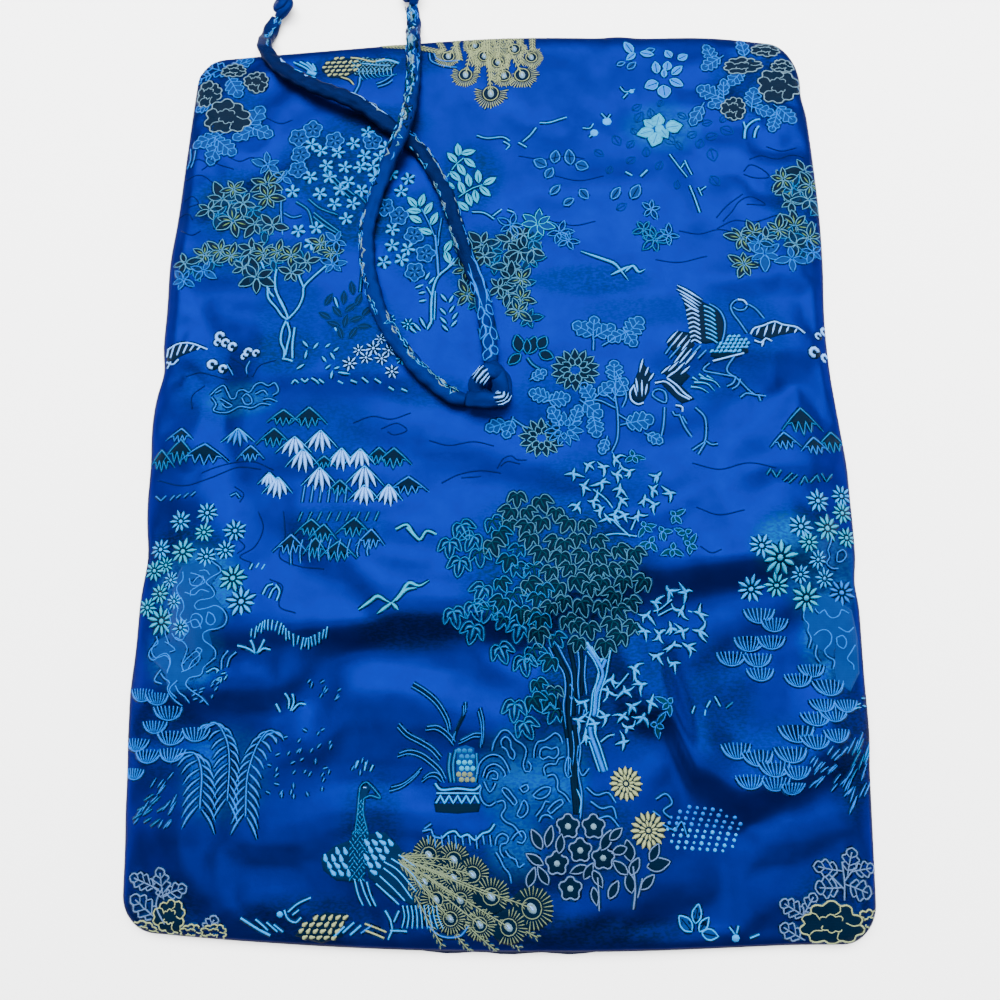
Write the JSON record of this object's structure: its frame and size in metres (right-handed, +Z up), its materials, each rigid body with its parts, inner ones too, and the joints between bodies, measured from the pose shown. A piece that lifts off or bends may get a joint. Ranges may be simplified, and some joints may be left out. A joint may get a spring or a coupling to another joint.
{
  "type": "brocade jewelry roll",
  "caption": "Padded fabric roll for jewelry, laid open with its folded brocade outer face up, a thin lining under it and a knotted tie that wraps it closed.",
  "frame": {"origin": "on the surface the roll lies on, under the middle of its panel", "axes": "+X across the open roll, +Y along its length towards the side where the tie's free ends lie, +Z up out of the outer face"},
  "size_m": [0.215, 0.3142, 0.0128],
  "materials": {
    "brocade": "blue satin ground with raised garden figures in pale thread",
    "lining": "plain dark lining cloth",
    "tie": "narrow sewn tube of the same brocade"
  },
  "bodies": {
    "root": {"lining_panel": "lining", "outer_panel": "brocade", "tie_knot": "tie", "tie_left": "tie", "tie_left_end_knot": "tie", "tie_right": "tie", "tie_right_end_knot": "tie"}
  },
  "joints": []
}
